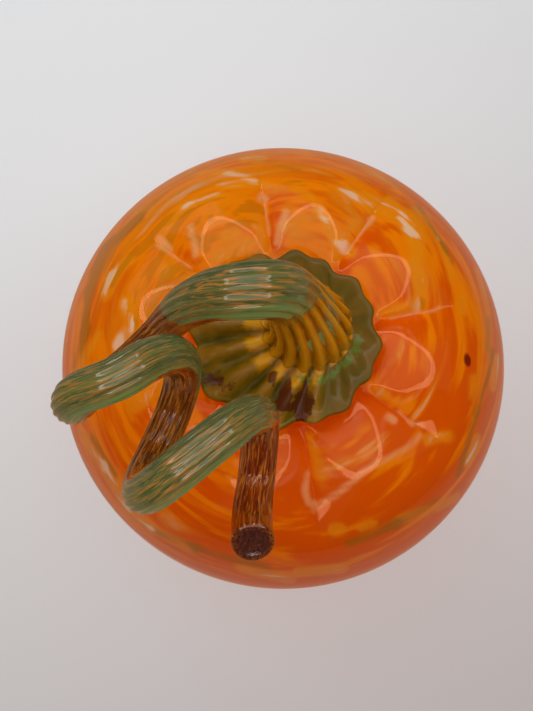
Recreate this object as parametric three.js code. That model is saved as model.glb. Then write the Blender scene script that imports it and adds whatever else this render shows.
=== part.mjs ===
// A hand-blown glass pumpkin: a hollow ribbed body, a pressed calyx over its neck hole,
// and a ribbed stem drawn out of a bell-shaped foot into an arch and a loose curl.
// Millimetres, +Z up. The origin is the middle of the standing ring, on the table.

import * as THREE from "three";

// Blown body
const BODY_DIAMETER = 155;
const BODY_HEIGHT = 108;
const EQUATOR_HEIGHT = 50;
const SHOULDER_RADIUS = 38.5;
const DIMPLE_DEPTH = 13;
const NECK_HOLE_RADIUS = 13;
const FOOT_RADIUS = 30;
const KICK_RADIUS = 16;
const KICK_HEIGHT = 2.5;
const KICK_SLOPE_SHARE = 0.6;
const WALL = 4;

// Pumpkin lobes and the creases between them
const LOBES = 8;
const FIRST_CREASE_ANGLE = THREE.MathUtils.degToRad(9.2);
const CREASE_WANDER = THREE.MathUtils.degToRad(2);
const WANDER_ANGLE = THREE.MathUtils.degToRad(-10);
const LOBE_DEPTH = 5.5;
const LOBE_START_RADIUS = 20;
const LOBE_FULL_RADIUS = 46;
const LOBE_FADE_START_RADIUS = 38;
const LOBE_FADE_RADIUS = 60;
const CREASE_DEPTH = 4.5;
const CREASE_HALF_WIDTH = 2.2;
const CREASE_END_RADIUS = 45.5;
const CREASE_FADE_LENGTH = 17.5;
const UNDERSIDE_LOBE_DEPTH = 1.5;
const INNER_LOBE_SHARE = 0.85;

// Calyx, the foot of hot glass pressed down over the neck hole
const CALYX_LENGTH = 52;
const CALYX_WIDTH = 49;
const CALYX_SHIFT_X = -0.5;
const CALYX_SHIFT_Y = -0.5;
const CALYX_EDGE = 3.6;
const CALYX_EDGE_ROUND = 1.4;
const CALYX_RISE = 15.5;
const CALYX_RIB_HEIGHT = 1.1;
const CALYX_LUMP_HEIGHT = 0.9;
const CALYX_SCALLOP = 0.6;
const CALYX_LOBE_SCALLOP = 0.9;
const CALYX_LOBE_SCALLOP_SWING = 0.3;
const LUMP_SIDE_ANGLE = THREE.MathUtils.degToRad(190);
const LUMP_MEAN_SHARE = 0.6;
const LUMP_SWING_SHARE = 0.4;
const CALYX_SWEEP_POWER = 1.5;
const SPIGOT_DEPTH = 2.5;
const SEAT_GAP = 0.3;

// Stem: optic ribs, foot, arch and curl
const RIBS = 16;
const FIRST_RIB_ANGLE = THREE.MathUtils.degToRad(39);
const STEM_FOOT_X = 5.5;
const STEM_FOOT_Y = 1.5;
const STEM_SEAT_RADIUS = 11.5;
const STEM_FOOT_RADIUS = 12.6;
const STEM_FOOT_LIP = 1;
const STEM_FLARE_LENGTH = 12;
const NECK_RADIUS = 6.1;
const ARCH_END_RADIUS = 3.8;
const ARCH_TAPER_START = 22;
const ARCH_TAPER_END = 88;
const CURL_ROD_RADIUS = 4.15;
const CURL_SWELL_LENGTH = 20;
const TIP_RADIUS = 4.5;
const TIP_FLARE_LENGTH = 25;
const RIB_DEPTH_AT_FOOT = 0.7;
const RIB_DEPTH_ON_CURL = 0.16;
const RIB_FADE_LENGTH = 30;
const RIB_TWIST_PER_MM = 0.012;

// The stem's route is set out from its foot in shares of these three lengths
const ARCH_REACH = 50;
const ARCH_SWAY = 20;
const ARCH_HEIGHT = 33.5;

// Curl, a loose left-handed helix that lies along the shoulder
const CURL_CENTRE = [0.83, 1.05, 0.881];
const CURL_AXIS_ANGLE = THREE.MathUtils.degToRad(-35.5);
const CURL_AXIS_DIP = THREE.MathUtils.degToRad(3.5);
const CURL_RADIUS = 13;
const CURL_PITCH = 21;
const CURL_FIRST_TURN = 0.04;
const CURL_LAST_TURN = 1.3;
const CURL_POINTS = 16;

// Facets
const COLUMNS_PER_LOBE = 8;
const CREASE_CROWDING = 0.11;
const UNDER_ROWS = 9;
const UPPER_ROWS = 11;
const DIMPLE_ROWS = 8;
const CALYX_COLUMNS = 64;
const CALYX_UNDER_ROWS = 4;
const CALYX_TOP_ROWS = 7;
const STEM_SIDES = 2 * RIBS;
const FRAME_STEPS = 550;
const FOOT_STEP = 1.5;
const FOOT_STEPS_LENGTH = 9;
const STEM_STEP = 3.6;

const { smoothstep, lerp } = THREE.MathUtils;
const bodyRadius = BODY_DIAMETER / 2;
const neckHeight = BODY_HEIGHT - DIMPLE_DEPTH;
const stemSeatHeight = neckHeight + CALYX_RISE;

// A closed skin between two end points: each ring is joined to the next, and the first and
// last rings are closed onto the end points. Rings run anticlockwise seen from the far end.
function skinOverRings(startPoint, rings, endPoint) {
  const sides = rings[0].length;
  const points = [startPoint, ...rings.flat(), endPoint];
  const last = points.length - 1;
  const at = (ring, side) => 1 + ring * sides + (side % sides);
  const faces = [];
  for (let side = 0; side < sides; side += 1) {
    faces.push(0, at(0, side + 1), at(0, side));
    for (let ring = 0; ring + 1 < rings.length; ring += 1) {
      const a = at(ring, side);
      const b = at(ring, side + 1);
      const c = at(ring + 1, side + 1);
      const d = at(ring + 1, side);
      faces.push(a, b, c, a, c, d);
    }
    faces.push(last, at(rings.length - 1, side), at(rings.length - 1, side + 1));
  }
  const geometry = new THREE.BufferGeometry().setFromPoints(points);
  geometry.setIndex(faces);
  geometry.computeVertexNormals();
  return geometry;
}

// How far the hand-pressed creases stray from even spacing at an angle round the body.
function wander(angle) {
  return CREASE_WANDER * Math.cos(angle - WANDER_ANGLE);
}

// How many lobes lie between the first crease and an angle. It is whole on each crease.
function lobesFromCrease(angle) {
  return ((angle - FIRST_CREASE_ANGLE - wander(angle)) * LOBES) / (2 * Math.PI);
}

// Angles round the body. They crowd towards each crease, which is narrow.
function bodyAngles() {
  const angles = [];
  for (let lobe = 0; lobe < LOBES; lobe += 1) {
    for (let column = 0; column < COLUMNS_PER_LOBE; column += 1) {
      const share = column / COLUMNS_PER_LOBE;
      const crowded = share - CREASE_CROWDING * Math.sin(2 * Math.PI * share);
      const even = FIRST_CREASE_ANGLE + ((lobe + crowded) * 2 * Math.PI) / LOBES;
      angles.push(even + wander(even + wander(even)));
    }
  }
  return angles;
}

// 0 along a crease and 1 along the middle of a lobe.
function lobeWave(angle) {
  return Math.abs(Math.sin(Math.PI * lobesFromCrease(angle)));
}

// How strongly the lobes stand out, from nothing at the neck hole to full strength.
function lobeRise(radius) {
  return smoothstep(radius, LOBE_START_RADIUS, LOBE_FULL_RADIUS);
}

// How far the top of the body lies below its shoulder profile, without the narrow creases.
function lobeDrop(radius, angle) {
  const fall = 1 - smoothstep(radius, LOBE_FADE_START_RADIUS, LOBE_FADE_RADIUS);
  return LOBE_DEPTH * lobeRise(radius) * fall * (1 - lobeWave(angle));
}

// The narrow crease between two lobes, which ends round just past the shoulder.
function creaseDrop(radius, angle) {
  const lobes = lobesFromCrease(angle);
  const arc = (radius * 2 * Math.PI * (lobes - Math.round(lobes))) / LOBES;
  const fall = 1 - smoothstep(radius, CREASE_END_RADIUS - CREASE_FADE_LENGTH, CREASE_END_RADIUS);
  return CREASE_DEPTH * lobeRise(radius) * fall * Math.exp(-((arc / CREASE_HALF_WIDTH) ** 2));
}

// Height of the dimpled top, which curves down evenly from the shoulder to the neck hole.
function dimpleHeight(radius) {
  const inward = (SHOULDER_RADIUS - radius) / (SHOULDER_RADIUS - NECK_HOLE_RADIUS);
  return BODY_HEIGHT - DIMPLE_DEPTH * inward ** 2;
}

// The body's outer outline from the middle of the base to the neck hole: a shallow kick-up,
// a flat standing ring, an elliptical quarter to the equator, another to the shoulder, and
// the dimple. Each row holds how strongly the lobes draw in below the equator.
function bodyOutline() {
  const rows = [
    { r: KICK_RADIUS / 2, z: KICK_HEIGHT * KICK_SLOPE_SHARE, drawn: 0 },
    { r: KICK_RADIUS, z: 0, drawn: 0 },
  ];
  for (let i = 0; i < UNDER_ROWS; i += 1) {
    const a = (i / UNDER_ROWS) * (Math.PI / 2);
    const r = FOOT_RADIUS + (bodyRadius - FOOT_RADIUS) * Math.sin(a);
    rows.push({ r, z: EQUATOR_HEIGHT * (1 - Math.cos(a)), drawn: Math.sin(2 * a) });
  }
  for (let i = 0; i < UPPER_ROWS; i += 1) {
    const b = (i / UPPER_ROWS) * (Math.PI / 2);
    const r = SHOULDER_RADIUS + (bodyRadius - SHOULDER_RADIUS) * Math.cos(b);
    rows.push({ r, z: lerp(EQUATOR_HEIGHT, BODY_HEIGHT, Math.sin(b)), drawn: 0 });
  }
  for (let i = 0; i <= DIMPLE_ROWS; i += 1) {
    const r = lerp(SHOULDER_RADIUS, NECK_HOLE_RADIUS, i / DIMPLE_ROWS);
    rows.push({ r, z: dimpleHeight(r), drawn: 0 });
  }
  return rows;
}

// The inner outline: the outer one moved in by the wall, square to itself, with half the rows.
function innerOutline(rows) {
  const inner = [];
  for (let i = rows.length - 1; i >= 1; i -= 2) {
    const before = rows[Math.max(i - 1, 0)];
    const after = rows[Math.min(i + 1, rows.length - 1)];
    const run = Math.hypot(after.r - before.r, after.z - before.z);
    const r = rows[i].r - (WALL * (after.z - before.z)) / run;
    const z = rows[i].z + (WALL * (after.r - before.r)) / run;
    inner.push({ r, z, drawn: rows[i].drawn });
  }
  inner[0] = { ...inner[0], r: NECK_HOLE_RADIUS, z: neckHeight - WALL };
  return inner;
}

// One ring of the body, on the outside (share 1) or the inside.
function bodyRing(row, share) {
  return bodyAngles().map((angle) => {
    const drawn = UNDERSIDE_LOBE_DEPTH * row.drawn * (1 - lobeWave(angle));
    const drop = row.z > EQUATOR_HEIGHT ? lobeDrop(row.r, angle) + creaseDrop(row.r, angle) : 0;
    const r = row.r - share * drawn;
    return new THREE.Vector3(r * Math.cos(angle), r * Math.sin(angle), row.z - share * drop);
  });
}

function blownBody() {
  const outline = bodyOutline();
  const outer = outline.map((row) => bodyRing(row, 1));
  const inner = innerOutline(outline).map((row) => bodyRing(row, INNER_LOBE_SHARE));
  const underPoint = new THREE.Vector3(0, 0, KICK_HEIGHT);
  const floorPoint = new THREE.Vector3(0, 0, KICK_HEIGHT + WALL);
  return skinOverRings(underPoint, [...outer, ...inner], floorPoint);
}

// The calyx's wavy rim: a shifted oval with a scallop at each rib and a dip at each crease.
function calyxRimRadius(angle) {
  const oval = Math.hypot(Math.cos(angle) / (CALYX_LENGTH / 2), Math.sin(angle) / (CALYX_WIDTH / 2));
  const scallop = CALYX_SCALLOP * Math.cos(RIBS * (angle - FIRST_RIB_ANGLE));
  const swing = CALYX_LOBE_SCALLOP_SWING * Math.cos(angle - LUMP_SIDE_ANGLE);
  const dip = (CALYX_LOBE_SCALLOP + swing) * (2 * lobeWave(angle) - 1);
  const shift = CALYX_SHIFT_X * Math.cos(angle) + CALYX_SHIFT_Y * Math.sin(angle);
  return 1 / oval + scallop + dip + shift;
}

// The body's top under the calyx. The soft glass bridges the narrow creases.
function seatHeight(radius, angle) {
  return dimpleHeight(Math.max(radius, NECK_HOLE_RADIUS)) - lobeDrop(radius, angle) + SEAT_GAP;
}

function calyxAngles() {
  const angles = [];
  for (let i = 0; i < CALYX_COLUMNS; i += 1) {
    angles.push(FIRST_CREASE_ANGLE + (i * 2 * Math.PI) / CALYX_COLUMNS);
  }
  return angles;
}

function ringOf(angles, radiusAt, heightAt) {
  return angles.map((angle) => {
    const r = radiusAt(angle);
    return new THREE.Vector3(r * Math.cos(angle), r * Math.sin(angle), heightAt(angle));
  });
}

// The calyx's upper face sweeps up from the rim to the stem's round seat, which is off centre.
function calyxTopRing(angles, rise) {
  return angles.map((angle) => {
    const rim = calyxRimRadius(angle) - CALYX_EDGE_ROUND;
    const rimTop = seatHeight(rim, angle) + CALYX_EDGE;
    const x = lerp(rim * Math.cos(angle), STEM_FOOT_X + STEM_SEAT_RADIUS * Math.cos(angle), rise);
    const y = lerp(rim * Math.sin(angle), STEM_FOOT_Y + STEM_SEAT_RADIUS * Math.sin(angle), rise);
    const side = LUMP_MEAN_SHARE + LUMP_SWING_SHARE * Math.cos(angle - LUMP_SIDE_ANGLE);
    const rib = CALYX_RIB_HEIGHT * side * Math.cos(RIBS * (angle - FIRST_RIB_ANGLE));
    const lump = CALYX_LUMP_HEIGHT * side;
    const swept = lerp(rimTop, stemSeatHeight, rise ** CALYX_SWEEP_POWER);
    const z = swept + (rib + lump) * Math.sin(Math.PI * rise) ** 2;
    return new THREE.Vector3(x, y, z);
  });
}

function calyx() {
  const angles = calyxAngles();
  const spigotRadius = NECK_HOLE_RADIUS - SEAT_GAP;
  const spigotFoot = neckHeight + SEAT_GAP - SPIGOT_DEPTH;
  const rings = [
    ringOf(angles, () => spigotRadius, () => spigotFoot),
    ringOf(angles, () => spigotRadius, () => neckHeight + SEAT_GAP),
  ];
  for (let i = 1; i <= CALYX_UNDER_ROWS; i += 1) {
    const radiusAt = (angle) =>
      lerp(NECK_HOLE_RADIUS, calyxRimRadius(angle) - CALYX_EDGE_ROUND, i / CALYX_UNDER_ROWS);
    rings.push(ringOf(angles, radiusAt, (angle) => seatHeight(radiusAt(angle), angle)));
  }
  const edgeHeight = (angle) => seatHeight(calyxRimRadius(angle), angle) + CALYX_EDGE / 2;
  rings.push(ringOf(angles, calyxRimRadius, edgeHeight));
  for (let i = 0; i <= CALYX_TOP_ROWS; i += 1) {
    rings.push(calyxTopRing(angles, i / CALYX_TOP_ROWS));
  }
  const underPoint = new THREE.Vector3(0, 0, spigotFoot);
  const seatPoint = new THREE.Vector3(STEM_FOOT_X, STEM_FOOT_Y, stemSeatHeight);
  return skinOverRings(underPoint, rings, seatPoint);
}

// A point of the stem's route, in shares of the arch's reach, sway and height.
function routePoint([reach, sway, height]) {
  return new THREE.Vector3(
    STEM_FOOT_X - ARCH_REACH * reach,
    STEM_FOOT_Y - ARCH_SWAY * sway,
    stemSeatHeight + ARCH_HEIGHT * height,
  );
}

// A point of the curl, counted in turns from the top of its first loop.
function curlPoint(turn) {
  const axis = new THREE.Vector3(
    Math.cos(CURL_AXIS_ANGLE) * Math.cos(CURL_AXIS_DIP),
    Math.sin(CURL_AXIS_ANGLE) * Math.cos(CURL_AXIS_DIP),
    -Math.sin(CURL_AXIS_DIP),
  );
  const up = new THREE.Vector3(0, 0, 1).addScaledVector(axis, -axis.z).normalize();
  const across = new THREE.Vector3().crossVectors(axis, up);
  const angle = -2 * Math.PI * turn;
  return routePoint(CURL_CENTRE)
    .addScaledVector(axis, CURL_PITCH * turn)
    .addScaledVector(up, CURL_RADIUS * Math.cos(angle))
    .addScaledVector(across, CURL_RADIUS * Math.sin(angle));
}

// The stem's centre line: up out of the foot, over the arch, down behind the curl, once and a
// bit round it, and out into a tail that turns up.
function stemPath() {
  const arch = [
    [0, 0, 0],
    [0.001, -0.001, 0.09],
    [0.024, -0.035, 0.25],
    [0.068, -0.09, 0.44],
    [0.115, -0.115, 0.64],
    [0.165, -0.085, 0.83],
    [0.235, -0.03, 0.965],
    [0.325, 0.005, 1.0],
    [0.45, 0.005, 0.905],
    [0.56, 0.03, 0.746],
    [0.646, 0.08, 0.558],
    [0.746, 0.22, 0.379],
    [0.87, 0.49, 0.331],
    [0.976, 0.805, 0.45],
    [1.028, 1.065, 0.687],
    [1.01, 1.175, 0.94],
    [0.934, 1.105, 1.156],
  ];
  const tail = [
    [0.262, 1.9, 0.474],
    [0.278, 2.225, 0.54],
    [0.28, 2.44, 0.666],
    [0.274, 2.555, 0.806],
  ];
  const points = arch.map(routePoint);
  for (let i = 0; i < CURL_POINTS; i += 1) {
    points.push(curlPoint(lerp(CURL_FIRST_TURN, CURL_LAST_TURN, i / (CURL_POINTS - 1))));
  }
  points.push(...tail.map(routePoint));
  return new THREE.CatmullRomCurve3(points, false, "centripetal");
}

// The rod's radius at a distance along the stem: a flared foot, a neck that thins along the
// arch, a fuller rod on the curl and a slight swelling at the cut tip.
function rodRadius(distance, length) {
  const flare = (STEM_FOOT_RADIUS - NECK_RADIUS) * Math.exp(-distance / STEM_FLARE_LENGTH);
  const thinned = smoothstep(distance, ARCH_TAPER_START, ARCH_TAPER_END);
  const swollen = smoothstep(distance, ARCH_TAPER_END, ARCH_TAPER_END + CURL_SWELL_LENGTH);
  const tip = smoothstep(distance, length - TIP_FLARE_LENGTH, length);
  const neck = lerp(NECK_RADIUS, ARCH_END_RADIUS, thinned);
  const curl = (CURL_ROD_RADIUS - ARCH_END_RADIUS) * swollen;
  return neck + flare + curl + (TIP_RADIUS - CURL_ROD_RADIUS) * tip;
}

// Distances along the stem at which it has a ring: close together on the flared foot.
function stemStations(length) {
  const stations = [STEM_FOOT_LIP];
  while (stations.at(-1) < FOOT_STEPS_LENGTH) {
    stations.push(stations.at(-1) + FOOT_STEP);
  }
  const start = stations.at(-1);
  const steps = Math.round((length - start) / STEM_STEP);
  for (let i = 1; i <= steps; i += 1) {
    stations.push(lerp(start, length, i / steps));
  }
  return stations;
}

// A ribbed section of the stem, square to its centre line. The ribs run on from the calyx's
// and turn slowly along the stem.
function stemRing(path, frames, length, distance, flat) {
  const step = Math.round((distance / length) * FRAME_STEPS);
  const centre = path.getPointAt(distance / length);
  const radius = flat ? STEM_SEAT_RADIUS : rodRadius(distance, length);
  const fade = Math.exp(-distance / RIB_FADE_LENGTH);
  const depth = flat ? 0 : lerp(RIB_DEPTH_ON_CURL, RIB_DEPTH_AT_FOOT, fade);
  const ring = [];
  for (let side = 0; side < STEM_SIDES; side += 1) {
    const angle = FIRST_RIB_ANGLE + (side * 2 * Math.PI) / STEM_SIDES;
    const r = radius + depth * Math.cos(RIBS * (angle - FIRST_RIB_ANGLE));
    const turned = angle + RIB_TWIST_PER_MM * distance;
    ring.push(
      centre
        .clone()
        .addScaledVector(frames.normals[step], r * Math.cos(turned))
        .addScaledVector(frames.binormals[step], r * Math.sin(turned)),
    );
  }
  return ring;
}

function curledStem(path) {
  const length = path.getLength();
  const frames = path.computeFrenetFrames(FRAME_STEPS);
  const rings = stemStations(length).map((distance) => stemRing(path, frames, length, distance, false));
  const seat = stemRing(path, frames, length, 0, true);
  seat.forEach((point) => point.setZ(stemSeatHeight));
  return skinOverRings(path.getPointAt(0).setZ(stemSeatHeight), [seat, ...rings], path.getPointAt(1));
}

// The least clear gap between turns of the rod, measured on points of its centre line.
function leastGapInCurl(path) {
  const length = path.getLength();
  const points = path.getSpacedPoints(FRAME_STEPS);
  const spacing = length / FRAME_STEPS;
  const halfTurn = Math.PI * CURL_RADIUS;
  let least = Infinity;
  for (let i = 0; i < points.length; i += 1) {
    for (let j = i + Math.ceil(halfTurn / spacing); j < points.length; j += 1) {
      const rods = rodRadius(i * spacing, length) + rodRadius(j * spacing, length);
      least = Math.min(least, points[i].distanceTo(points[j]) - rods);
    }
  }
  return least;
}

function namedMesh(name, geometry, look) {
  const mesh = new THREE.Mesh(geometry, new THREE.MeshStandardMaterial(look));
  mesh.name = name;
  return mesh;
}

const path = stemPath();
console.log("least gap between turns of the stem, mm:", leastGapInCurl(path).toFixed(2));

const pumpkin = new THREE.Group();
pumpkin.add(
  namedMesh("blown_body", blownBody(), {
    color: 0xe8710f,
    roughness: 0.04,
    metalness: 0,
    transparent: true,
    opacity: 0.85,
  }),
  namedMesh("calyx", calyx(), { color: 0x8a5a14, roughness: 0.08, metalness: 0 }),
  namedMesh("curled_stem", curledStem(path), { color: 0x5f7048, roughness: 0.08, metalness: 0 }),
);

export default pumpkin;
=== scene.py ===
"""Looks of a hand-blown glass pumpkin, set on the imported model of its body, calyx and curled stem."""

import math

import bpy
import numpy as np
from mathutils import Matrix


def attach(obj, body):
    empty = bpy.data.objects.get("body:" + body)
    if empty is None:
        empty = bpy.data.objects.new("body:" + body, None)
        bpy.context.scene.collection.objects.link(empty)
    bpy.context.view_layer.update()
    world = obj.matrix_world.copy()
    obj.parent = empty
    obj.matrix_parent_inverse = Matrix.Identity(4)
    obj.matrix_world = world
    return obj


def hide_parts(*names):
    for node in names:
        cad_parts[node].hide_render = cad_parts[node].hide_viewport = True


bl_info = {
    "name": "Blown Glass Pumpkin",
    "version": (1, 0, 0),
    "blender": (4, 5, 0),
    "location": "View3D > Sidebar > Glass Pumpkin",
    "description": "Builds the glass of a blown pumpkin and a light box round it",
    "category": "Object",
}

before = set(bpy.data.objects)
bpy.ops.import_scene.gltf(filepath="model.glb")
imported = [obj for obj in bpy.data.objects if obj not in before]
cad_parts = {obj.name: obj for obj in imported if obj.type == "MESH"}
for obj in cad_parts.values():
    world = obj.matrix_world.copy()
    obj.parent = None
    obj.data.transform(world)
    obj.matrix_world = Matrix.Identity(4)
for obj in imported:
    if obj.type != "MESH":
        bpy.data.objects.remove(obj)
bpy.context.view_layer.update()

TURN = 2 * math.pi
MM = 0.001

# The blown body: neck hole, widest part, base, and the share of the outer skin's folds that the inner one has.
NECK_HOLE = 13 * MM
WIDEST_HEIGHT = 50 * MM
KICK_RADIUS = 16 * MM
KICK_HEIGHT = 2.5 * MM
STANDING_RADIUS = 30 * MM
SIDE_DRAW_IN = 1.5 * MM
INNER_SHARE = 0.85

# Its lobes and the creases between them, with the radii between which they fade in and out.
LOBES = 8
LOBE_COLUMNS = 40
LOBE_DEPTH = 5.5 * MM
LOBES_FADE_IN = (20 * MM, 46 * MM)
LOBES_FADE_OUT = (38 * MM, 60 * MM)
CREASE_DEPTH = 4.5 * MM
CREASE_HALF_WIDTH = 2.2 * MM
CREASES_FADE_OUT = (28 * MM, 45.5 * MM)
CREASE_ANGLE = math.radians(9.2)
CREASE_WANDER = math.radians(2)
WANDER_ANGLE = math.radians(-10)

# The calyx and the ribs that it shares with the stem.
RIBS = 16
RIB_ANGLE = math.radians(39)
LUMP_SIDE_ANGLE = math.radians(190)
SWEPT_ANGLE = math.radians(200)
MEETING_ANGLE = math.radians(-55)
SEAT_GAP = 0.3 * MM
SPIGOT_DEPTH = 2.5 * MM
SPIGOT_RADIUS = 12.7 * MM
SPIGOT_TIP_RADIUS = 6 * MM
RIM_ROUNDING = 1.4 * MM
RIM_THICKNESS = 3.6 * MM

# The curled stem.
STEM_FOOT = np.array([5.5, 1.5, 110.5]) * MM
STEM_SEAT_RADIUS = 11.5 * MM
FLARE_RADIUS = 12.6 * MM
FLARE_LENGTH = 12 * MM
THIN_RADIUS = 3.8 * MM
TIP_SWELLING = 0.35 * MM
ARCH_SPAN = np.array([-50, -20, 33.5]) * MM  # reach, sway and height of the arch
CURL_RADIUS = 13 * MM
CURL_PITCH = 21 * MM
CURL_AZIMUTH = math.radians(-35.5)
CURL_DIP = math.radians(3.5)
RIB_TWIST = 12.0  # radians in a metre
COURSE_STEPS = 1100
BEND_WINDOW = 61  # steps over which a bend is averaged

# The body's swirls: millimetres up the skin for a radian at the axis, for a radian of lean and for one step of
# the pattern, and the radius of the tube on which it is read.
SKIN_TO_RADIAN = 80
SKIN_TO_LEAN = 45
SKIN_TO_STEP = 9
SWIRL_RADIUS = 1.2

# A streak fades over this many of its half-widths, and a painted glint over this many millimetres.
STREAK_SOFTNESS = 1.7
GLINT_HALF_WIDTH = 1.5

# The photograph's camera, and the ring of strip lamps round it.
CAMERA_PLACE = (-5.4 * MM, -31.2 * MM, 251.6 * MM)
CAMERA_TILT = math.radians(10)
CAMERA_LENS = 27.06
LAMPS = 16
LAMP_RING_RADIUS = 0.115
LAMP_RING_SHIFT = 0.005
FLOOR_RADIUS = 3.0
FLOOR_THICKNESS = 0.01

# What the room shows: to matt glass and paper low down and high up, to glossy glass, and to the camera.
ROOM_LOW, ROOM_HIGH = (0.20, 0.19, 0.18), (0.11, 0.11, 0.11)
ROOM_MIRRORED = (0.03, 0.03, 0.03)
ROOM_SEEN = (0.62, 0.62, 0.63)

# The cut face of the stem: how far its rings shrink towards the middle, and how far they stand out.
FACE_SHARES = np.array([0.96, 0.86, 0.68, 0.45, 0.2])[:, None, None]
FACE_LIFTS = np.array([0.45, 0.70, 0.40, 0.10, 0.0])[:, None, None] * MM

# Streaks and painted glints are painted this many millimetres further out than their places.
STREAK_SHIFT = 1.5

# The side that is painted lightest, where the strongest softbox stands.
LIT_SIDE_ANGLE = math.radians(125)

GLASS_IOR = 1.5

# Tints of the glass and the paper that are not settings: red, green and blue, from 0 to 1.
CASING_CLEAREST = (1.0, 0.96, 0.88)
# Colour of the painted highlights and caustic glints along the creases.
GLINT_LIGHT = (1.0, 0.70, 0.34)
CREAM_FILM = (1.0, 0.95, 0.86)
JADE = (0.165, 0.185, 0.045)
JADE_IN_SHADE = (0.050, 0.085, 0.036)
JADE_DASH = (0.27, 0.29, 0.11)
AMBER_DASH = (0.46, 0.18, 0.030)
# Painted light on the stem's near lower edge, as if lit through.
JADE_LIT_EDGE = (0.18, 0.33, 0.085)
TIP_DARK, TIP_LIGHT = (0.022, 0.008, 0.008), (0.09, 0.030, 0.020)
FLANGE_SECOND = (0.120, 0.080, 0.010)
FLANGE_SPECK = (0.13, 0.062, 0.004)
MEETING_GREEN = (0.105, 0.19, 0.025)
PAPER_GREY = (0.7, 0.7, 0.7)

# Dark red patches on the calyx: place in mm, half-widths in mm, strength.
CALYX_PATCHES = (
    (-4, -12, 1.4, 2.0, 0.9), (-0.5, -18, 2.6, 5.0, 1.0), (5, -19.5, 2.4, 6.5, 0.95), (-19, -13, 5.0, 2.4, 0.9),
)
FLECK_PLACE = (0.0510, -0.0062, 0.1000)

# Streaks in the orange, seen from above: first and last x and y and half-width in mm, strength.
CREAM_STREAKS = (
    (15.2, 44.8, 20.3, 43.8, 0.8, 0.7), (20.3, 43.8, 26.5, 41.7, 1.4, 0.9), (26.5, 41.7, 31.2, 39.9, 1.7, 0.7),
    (32.1, 42.9, 35, 37.1, 1.1, 0.9), (35, 37.1, 37.3, 31.4, 1.4, 1.3), (37.3, 31.4, 38, 24.7, 1.1, 1.2),
    (40.1, 40, 39.1, 28.8, 1, 0.6), (42.8, 37.9, 46, 30.2, 0.7, 0.8), (46, 30.2, 49, 18.5, 0.8, 0.6),
    (36.2, 20.7, 37.6, 16.5, 1.1, 1.2), (37.6, 16.5, 37.6, 9.2, 1.1, 1.1), (52.3, 13.2, 52.1, 8, 0.8, 0.6),
    (9.4, 36.5, 11.6, 31.9, 0.8, 0.9), (11.6, 31.9, 13.1, 27.6, 0.8, 1), (15.2, 26.4, 17.4, 24.3, 1.4, 1),
    (3.5, 44.3, 8, 40.6, 0.8, 0.5), (59.9, 23.2, 61.5, 10.8, 0.9, 0.7), (61.2, 7.5, 59.6, -2.6, 1.2, 0.4),
    (64, -4.1, 62, -12.1, 0.9, 0.8), (55.5, -28.4, 53.1, -34.1, 0.9, 1.2), (53.4, -11.4, 53.4, -15.5, 1, 0.5),
    (39.4, -28.6, 45.7, -27.5, 1.1, 0.6), (13.2, -53.2, 15.1, -52.7, 0.8, 1), (20.4, -52.5, 24.2, -51.2, 0.6, 1),
    (31.6, -50.5, 40.2, -48.2, 0.9, 0.8), (44.6, -47.4, 51.8, -44.8, 0.9, 0.7), (4.1, -65.7, 16.6, -65, 0.9, 1.1),
    (-51.8, 13.8, -50.8, 18.7, 1.1, 1.1), (-50.8, 18.7, -45.8, 23.8, 1, 0.8), (-35.4, 34.2, -28.6, 39.7, 1, 1.1),
    (-28.6, 39.7, -18.7, 42.5, 0.7, 1), (-18.8, 46.4, -9.1, 48.5, 0.7, 1.1), (-12.4, 58.5, -6.8, 58.2, 0.9, 0.8),
    (-30.1, 54.6, -17.7, 52.5, 0.6, 0.7), (-17.7, 52.5, -2, 46.6, 0.6, 0.6), (-45.3, 41.3, -41.4, 41.8, 0.9, 0.7),
    (-33.4, 18.2, -31, 19.4, 1.4, 0.9), (-44.7, 10.1, -42.6, 3.9, 1.1, 1.2), (-17.8, 22, -10.2, 25.4, 1.1, 0.9),
    (-15.8, 28.6, -14.1, 29, 1.1, 0.6), (-61, -26, -53.2, -35.3, 1, 0.9), (-52.6, -36.4, -46.7, -47.4, 1, 1.4),
    (-46.8, -50, -39.7, -53.2, 1.1, 0.9), (-39.1, -53.5, -26.8, -59.2, 0.9, 0.7),
    (-12.1, -64.6, 1.4, -68.6, 0.9, 1),
    (-59.5, -5.8, -54, 2.1, 0.7, 0.6), (-48, -1.6, -42.6, 3.9, 1.1, 1.1), (-41.3, -18.2, -34.9, -13.6, 1.6, 0.8),
    (-63.3, 18.8, -61.3, 21.2, 0.9, 0.6),
)

BROWN_STREAKS = (
    (-59, 3.5, -59.2, 15.7, 1.1, 1), (-59.2, 15.7, -55.9, 31.2, 1.2, 1.1), (-55.9, 31.2, -43.9, 38.4, 1.2, 0.9),
    (-62.8, -6.4, -59, 3.5, 1, 0.8), (-33.5, 44.4, -23.5, 48.2, 1.1, 0.5), (41.1, 42.6, 47.3, 27.7, 0.8, 0.8),
    (47.3, 27.7, 49.6, 22.8, 0.8, 0.7), (60.7, 7.3, 59.6, -2.6, 0.9, 0.8), (62.3, -2.1, 54.8, -20.4, 0.6, 1.1),
    (54.8, -20.4, 49.8, -38, 0.7, 1.1), (17.6, -56.5, 30.8, -51.4, 1.1, 0.9), (30.8, -51.4, 43.8, -45.2, 1.2, 0.6),
    (-56.7, -26.7, -48.7, -38.3, 0.7, 1.1), (-37.5, -54.3, -25.9, -58.8, 0.9, 0.9),
    (-25.9, -58.8, -4.7, -64.2, 0.9, 0.9),
    (-5.9, 56.9, 4.6, 52.1, 0.8, 0.5),
)
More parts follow.
